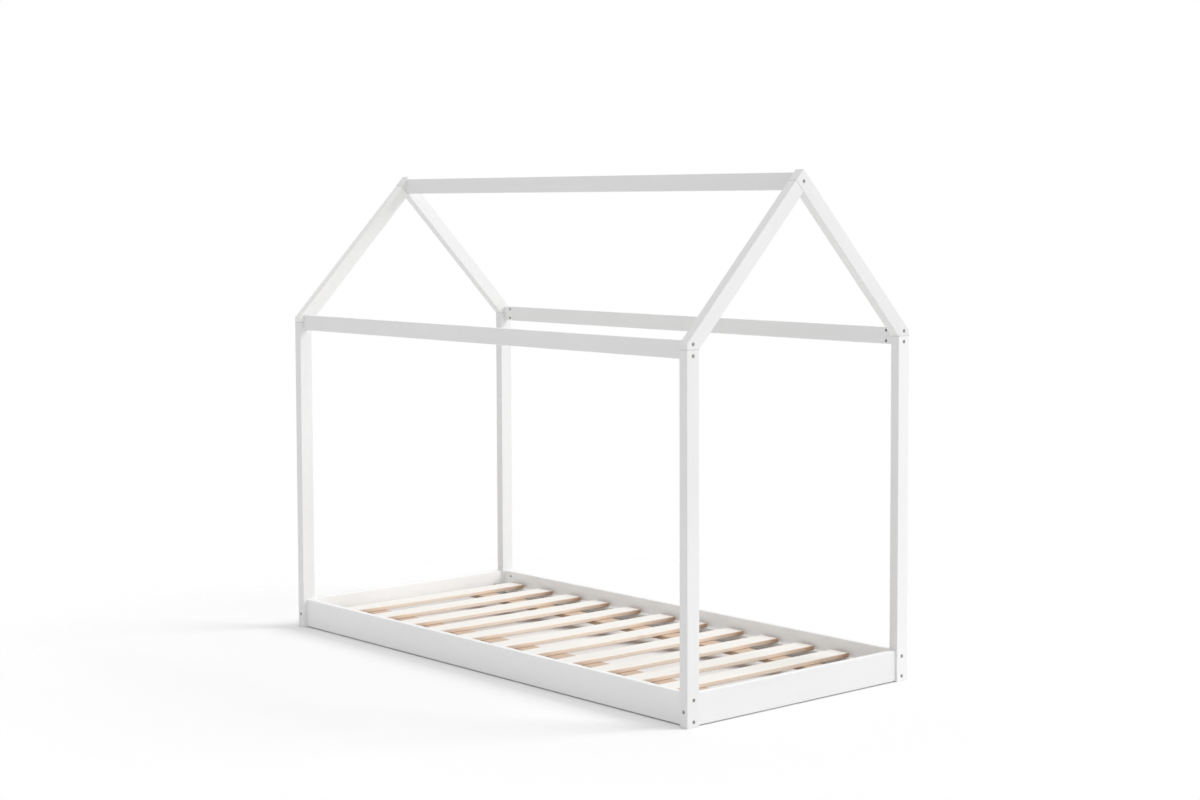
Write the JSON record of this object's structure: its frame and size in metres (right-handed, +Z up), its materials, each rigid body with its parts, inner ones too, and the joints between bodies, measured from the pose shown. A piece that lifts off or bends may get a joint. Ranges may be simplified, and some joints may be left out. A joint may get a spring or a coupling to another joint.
{
  "type": "house frame bed",
  "caption": "Low single bed inside a house-shaped timber frame of posts, rafters, top rails and a ridge beam, with low boards around a slatted base.",
  "frame": {"origin": "on the floor, under the middle of the bed's outline", "axes": "+X along the bed towards the gable nearest the viewer in the picture, +Y across the bed away from the viewer, +Z up"},
  "size_m": [2.06, 0.98, 1.6425],
  "materials": {
    "white_paint": "satin white paint",
    "pine": "planed, untreated",
    "bolt_steel": "dull zinc",
    "zinc": "bright zinc",
    "beech": "fluted dowel, untreated"
  },
  "bodies": {
    "root": {"end_board_left": "white_paint", "post_front_left": "white_paint", "rafter_front_left": "white_paint", "post_back_left": "white_paint", "rafter_back_left": "white_paint", "end_board_right": "white_paint", "post_front_right": "white_paint", "rafter_front_right": "white_paint", "post_back_right": "white_paint", "rafter_back_right": "white_paint", "side_board_front": "white_paint", "top_rail_front": "white_paint", "side_board_back": "white_paint", "top_rail_back": "white_paint", "ridge_beam": "white_paint", "slat_ledger_front": "white_paint", "slat_ledger_back": "white_paint", "slat_carrier_front": "pine", "slat_carrier_back": "pine", "slat_01": "pine", "slat_02": "pine", "slat_03": "pine", "slat_04": "pine", "slat_05": "pine", "slat_06": "pine", "slat_07": "pine", "slat_08": "pine", "slat_09": "pine", "slat_10": "pine", "slat_11": "pine", "slat_12": "pine", "side_board_bolts": "bolt_steel", "side_board_barrel_nuts": "bolt_steel", "top_rail_bolts": "bolt_steel", "top_rail_barrel_nuts": "bolt_steel", "ridge_bolts": "bolt_steel", "ridge_barrel_nuts": "bolt_steel", "end_board_bolts": "bolt_steel", "end_board_barrel_nuts": "bolt_steel", "ledger_screws": "zinc", "carrier_screws": "zinc", "rafter_foot_dowels": "beech", "apex_dowels": "beech"}
  },
  "joints": []
}
